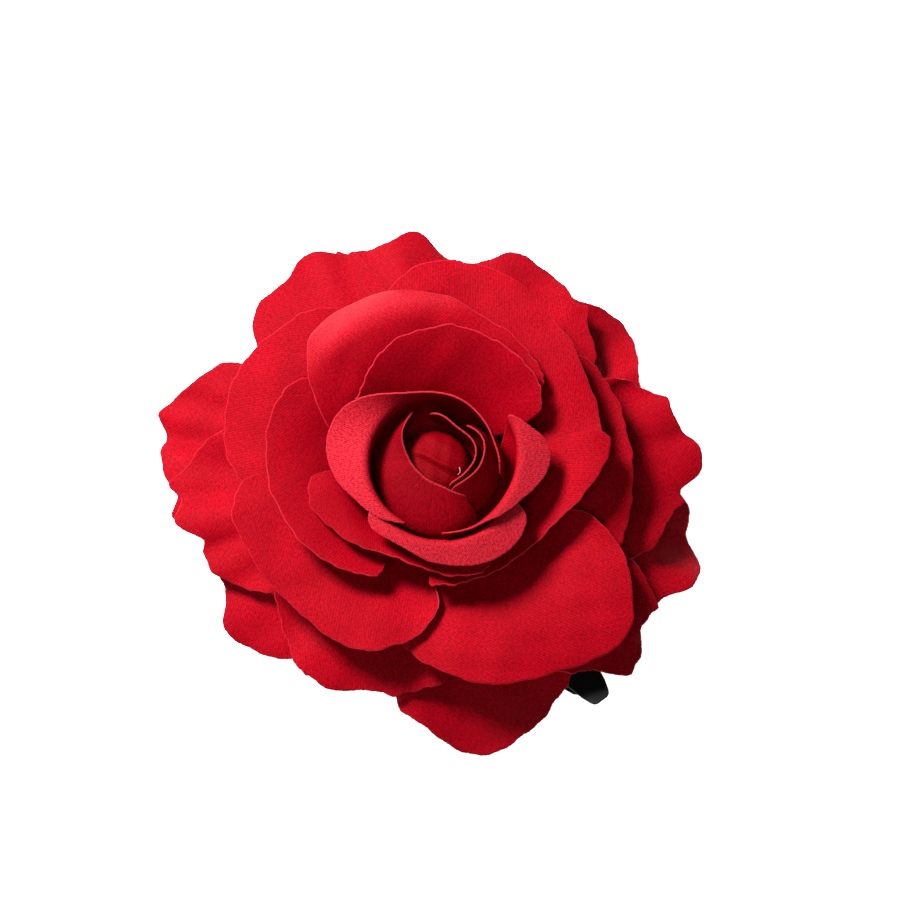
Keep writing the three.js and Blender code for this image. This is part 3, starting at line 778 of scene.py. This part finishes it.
MIDDLE = dict(foot=[10.5, 15.5], ref=34, rise=[40, 34, 22, 8, -6])
MIDDLE_PETALS = {
    "middle_petal_1": dict(
        MIDDLE, az=-170, spread=50, rise=[40, 36, 24, 12, 2], reach=[16, 25.5, 27.5, 25.5, 22, 18, 15],
        folds=[[0.22, 0.09, 0.8, 0.2, 0], [0.42, 0.1, -0.8, 0.1, 0]],
    ),
    "middle_petal_2": dict(
        MIDDLE, az=54, spread=56, lift=[0, 0, 0, -0.5, -2],
        reach=[20, 23, 24.5, 26.5, 30, 34.5, 35, 30.5, 24],
        folds=[[0.3, 0.07, -0.8, 0.2, 0], [0.45, 0.09, 0.9, 0.1, 0], [0.66, 0.09, -0.7, 0.2, 0]],
    ),
    "middle_petal_3": dict(
        MIDDLE, az=102, spread=62, foot=[10, 17], rise=[48, 42, 30, 14, -4], fold=24, roll=5,
        curl=[0, 0, 0, -25, -47, -50, -24, 0, 0], push=[2, 1, 0, 0, 0],
        folds=[[0.42, 0.08, -0.6, 0.2, 0], [0.6, 0.07, 0.8, 0.2, -0.05], [0.74, 0.06, -0.8, 0.1, 0]],
        reach=[18, 20.5, 22.8, 26, 33, 35.5, 25.5, 17.5, 14],
    ),
}
for seed, (name, petal) in enumerate(MIDDLE_PETALS.items(), 31):
    cloth_petal(name, petal, seed, columns=150)

# ---- Inner petals -------------------------------------------------------------------------------
# Three petals glued close under the cup, which lean out and then flatten.

INNER = dict(foot=[9.5, 16], ref=26, rise=[42, 42, 34, 18, -5])
INNER_PETALS = {
    "inner_petal_1": dict(
        INNER, az=-120, spread=60, foot=[9.7, 16], ref=22, rise=[34, 53, 54, 12, -15],
        reach=[14, 20.5, 21.2, 18.2, 14.7, 15.3, 16.9, 16.5, 14],
    ),
    "inner_petal_2": dict(
        INNER, az=-40, spread=56, foot=[9.9, 15.2], reach=[16, 16, 16, 16, 16.5, 19.5, 25, 27, 21],
    ),
    "inner_petal_3": dict(
        INNER, az=87, spread=57, foot=[9.6, 17.4], ref=24, rise=[45, 52, 45, 35, 25],
        push=[2.5, 1.5, 0, 0, 0],
        reach=[14, 18.5, 21.9, 24, 22, 17.5, 16],
    ),
}
for seed, (name, petal) in enumerate(INNER_PETALS.items(), 41):
    cloth_petal(name, petal, seed)

# ---- Cup petals ---------------------------------------------------------------------------------
# Three petals that wrap the bud like a cup. Their lips are rolled outwards with a warm iron ball.

CUP = dict(foot=[9, 18], ref=17, rise=[20, 55, 80, 90, 88], fold=14, roll=3, crumple=0.12)
CUP_PETALS = {
    "cup_petal_1": dict(
        CUP, az=-87, spread=60, foot=[9.2, 17.6], rise=[14, 52, 80, 90, 88], curl=[-105],
        reach=[16, 18.5, 18, 20, 21.5, 20.5, 16.5],
    ),
    "cup_petal_2": dict(
        CUP, az=-27, spread=62, foot=[8.95, 18.6], rise=[20, 57, 84, 92, 88], fold=14.2,
        push=[0, 0, 0, 0, 0.5, 1.3, 1.9], belly=[0, 0, 0, 0.2, 0.8, 1.3, 1.2],
        curl=[-60, -70, -100, -105, -105, -80, -60], reach=[15.5, 15.5, 15.8, 18.5, 22.5, 18.5, 16.5],
    ),
    "cup_petal_3": dict(
        CUP, az=117, spread=122, foot=[8.4, 18.6], rise=[14, 50, 85, 94, 92],
        push=[-2, -2, -2, -0.5, 0.5, 1, 0.5, 0, 0], curl=[0, 0, 0, 0, -30, -110, -120, -120, -100],
        reach=[12, 15, 16.5, 17.8, 18.4, 24, 19.2, 16.5, 15],
    ),
}
for seed, (name, petal) in enumerate(CUP_PETALS.items(), 51):
    cloth_petal(name, petal, seed, columns=190)

# ---- Bud petals ---------------------------------------------------------------------------------
# Three narrow petals wound tightly round the heart, each tucked under the one before, and glued
# along their feet so that only their free edges show.

# The same twill, painted a deeper red as shade for the bud wound deep inside the cup.
SHADED_BUD_CLOTH = satin("red polyester satin twill in painted shade", "#4a0004", "#860010", "#b8303c")

BUD = dict(centre=[-0.5, 1.5], foot=[8, 20], ref=13, crumple=0.03)
BUD_PETALS = {
    "bud_petal_1": dict(
        BUD, az=-150, spread=95, rise=[45, 80, 105, 118, 120],
        push=[3, 2.7, 1.5, -1.5, -2.6, -2.7, -1.7, 0.5, 1.5],
        belly=[0, 0, 1, 3.2, 4.6, 5.6, 5.6, 3.7, 2.5],
        reach=[9, 11, 11.6, 11, 11.3, 11.2, 11.4, 11.3, 10.5],
    ),
    "bud_petal_2": dict(
        BUD, az=-8, spread=60, foot=[7.7, 19.9], rise=[50, 85, 100, 100, 90],
        push=[-1.4, -1.5, -1, 0.4, 1.5, 0.9, 0.5], belly=[3.3, 3.3, 3.3, 3, 1.6, 1, 0.5],
        reach=[9, 11, 11.5, 11.5, 11.5, 11, 8],
    ),
    "bud_petal_3": dict(
        BUD, az=15, spread=85, foot=[7, 20.2], rise=[50, 85, 100, 105, 105],
        push=[-1.6, -1.4, -0.8, 0.6, 0.1, 1.7, 2], reach=[9, 11, 11.3, 11.3, 11.3, 11, 9],
    ),
}
for seed, (name, petal) in enumerate(BUD_PETALS.items(), 61):
    cloth_petal(name, petal, seed, SHADED_BUD_CLOTH)

# ---- Bud heart ----------------------------------------------------------------------------------
# A foam ball with the same cloth pulled over it and twisted under, so that one pleat crosses its
# top. A few sewing threads stick out beside it.

heart_low, heart_high = (np.array(corner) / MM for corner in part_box("bud_heart"))
heart_x, heart_y = ((heart_low + heart_high) / 2)[:2]


def heart_surface(rings, sides):
    """A dome on a polar grid: rings follow a rounded profile of radius and height, and near the top
    one pleat along a slanting line raises them, with a groove beside it and faint dents all over."""
    share = np.linspace(0, 1, rings)[:, None]
    turn = np.linspace(0, 2 * np.pi, sides, endpoint=False)[None, :]
    profile_r = smooth([0.02, 2.6, 4.8, 6.4, 7.15, 7.2, 7.0, 6.1], share)
    profile_z = smooth([27.95, 27.7, 26.9, 25.5, 23.6, 22, 20.6, 19.3], share)
    radius = profile_r + 0 * turn
    x, y = radius * np.cos(turn), radius * np.sin(turn)
    line = y + 0.35 * x - 0.4 + 0.5 * np.sin(x / 2)
    pleat = 0.55 * np.exp(-((line / 0.8) ** 2)) - 0.5 * np.exp(-(((line + 1.5) / 0.9) ** 2))
    z = profile_z + pleat * np.clip(1.4 - radius / 5, 0, 1)
    z = z + 0.12 * np.sin(1.7 * x + 0.9 * y) * np.sin(1.1 * y - 0.4 * x)
    points = np.stack([heart_x + x, heart_y + y, z], -1)
    return points.reshape(-1, 3), ring_faces(rings, sides, flip=True)


# The same twill pulled over foam, painted the deepest red as shade for the heart, which lies lowest in the
# bud.
SHADED_HEART_CLOTH = satin("red satin twill over foam in painted shade", "#4c0003", "#80000c", "#b8303c")
points, faces = heart_surface(70, 120)
heart = solid_piece("bud_heart_cloth", points, faces, SHADED_HEART_CLOTH)
cut = heart.data.uv_layers.new(name="cut")
loops = np.zeros(len(heart.data.loops), np.int32)
heart.data.loops.foreach_get("vertex_index", loops)
cut.data.foreach_set("uv", (points[loops, :2] - [heart_x, heart_y]).astype(np.float32).ravel())
UNCUT = 9.0  # mm to the nearest cut edge, which is tucked under
away = heart.data.attributes.new("edge_mm", "FLOAT", "POINT")
away.data.foreach_set("value", np.full(len(points), UNCUT, np.float32))
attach(heart, "flower_and_upper_lever")
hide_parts("bud_heart")

# Sewing thread: bright polyester, in a few loose ends a tenth of a millimetre thick.
THREAD, tree = new_material("pale polyester sewing thread")
shade = add(
    tree,
    "ShaderNodeBsdfPrincipled",
    [("Base Color", linear("#9c7f96")), ("Roughness", 0.5), ("Sheen Weight", 0.3)],
)
add(tree, "ShaderNodeOutputMaterial", [("Surface", shade.outputs["BSDF"])])
THREAD_RADIUS = 0.05
# Stops along each loose end, in mm from the middle of the heart and from the ground.
LOOSE_ENDS = {
    "loose_thread_1": [[-3.6, -3.4, 24.6], [-2.8, -4.2, 26.2], [-3.3, -5.2, 27.1], [-2.3, -5.6, 26.5]],
    "loose_thread_2": [[-3, -4.6, 24.6], [-2.6, -5.2, 26.6], [-1.6, -4.6, 27.2], [-2.2, -3.8, 26.6]],
    "loose_thread_3": [[4, -1.6, 25], [4.6, -2.4, 26.3], [5.2, -1.8, 27], [5, -0.8, 26.7]],
}
for name, stops in LOOSE_ENDS.items():
    share = np.linspace(0, 1, 40)
    line = np.stack([smooth(np.array(stops)[:, axis], share) for axis in range(3)], 1)
    thread = solid_piece(name, *tube(line + [heart_x, heart_y, 0], THREAD_RADIUS, 8), THREAD)
    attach(thread, "flower_and_upper_lever")

# ---- Floor, light and camera --------------------------------------------------------------------
# A white table under soft studio light: a softbox over the far left, and a larger, weaker one in
# front. The table is clear from below, so the clip's underside can be seen.

PAPER, tree = new_material("white table")
shade = add(tree, "ShaderNodeBsdfPrincipled", [("Base Color", linear("#fbfbfb")), ("Roughness", 0.9)])
lift = add(tree, "ShaderNodeEmission", [("Color", linear("#ffffff")), ("Strength", 0.95)])
lit = add(tree, "ShaderNodeAddShader", [(0, shade.outputs[0]), (1, lift.outputs[0])])
side = add(tree, "ShaderNodeNewGeometry")
clear = add(tree, "ShaderNodeBsdfTransparent")
seen = add(
    tree,
    "ShaderNodeMixShader",
    [("Fac", side.outputs["Backfacing"]), (1, lit.outputs[0]), (2, clear.outputs[0])],
)
add(tree, "ShaderNodeOutputMaterial", [("Surface", seen.outputs[0])])
TABLE = 3000  # half the table's width, mm
TABLE_TOP = -0.2  # just under the clip
table = [[x * TABLE, y * TABLE, TABLE_TOP] for x, y in ((-1, -1), (1, -1), (1, 1), (-1, 1))]
floor = solid_piece("white_table", table, [[0, 1, 2, 3]], PAPER)
floor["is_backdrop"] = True

room = bpy.data.worlds.new("Studio")
bpy.context.scene.world = room
room.use_nodes = True
backdrop = room.node_tree.nodes["Background"]
backdrop.inputs["Color"].default_value = linear("#ffffff")
backdrop.inputs["Strength"].default_value = 0.05


def softbox(name, place, size, power):
    """A square area light of `size` metres and `power` watts at `place`, facing the flower's middle."""
    light = bpy.data.lights.new(name, "AREA")
    light.size = size
    light.energy = power
    made = bpy.data.objects.new(name, light)
    bpy.context.scene.collection.objects.link(made)
    made.location = place
    aim = Vector((0, 0, 0.02)) - made.location
    made.rotation_euler = aim.to_track_quat("-Z", "Y").to_euler()


softbox("key_softbox", (-0.34, 0.33, 0.56), 0.2, 20.0)
softbox("front_softbox", (-0.1, -0.3, 0.74), 0.35, 2.4)

EYE_DISTANCE = 0.509  # metres from the flower's foot
EYE_TILT = math.radians(13)  # off straight above, towards the front
camera = bpy.data.cameras.new("Camera")
camera.lens = 100
camera.shift_x = 0.01
camera.shift_y = 0.057
viewer = bpy.data.objects.new("Camera", camera)
bpy.context.scene.collection.objects.link(viewer)
back, above = EYE_DISTANCE * math.sin(EYE_TILT), EYE_DISTANCE * math.cos(EYE_TILT)
viewer.location = (axis_x * MM, axis_y * MM - back, above)
viewer.rotation_euler = (EYE_TILT, 0, 0)
bpy.context.scene.camera = viewer
bpy.context.scene.view_settings.view_transform = "Standard"

low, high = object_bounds()
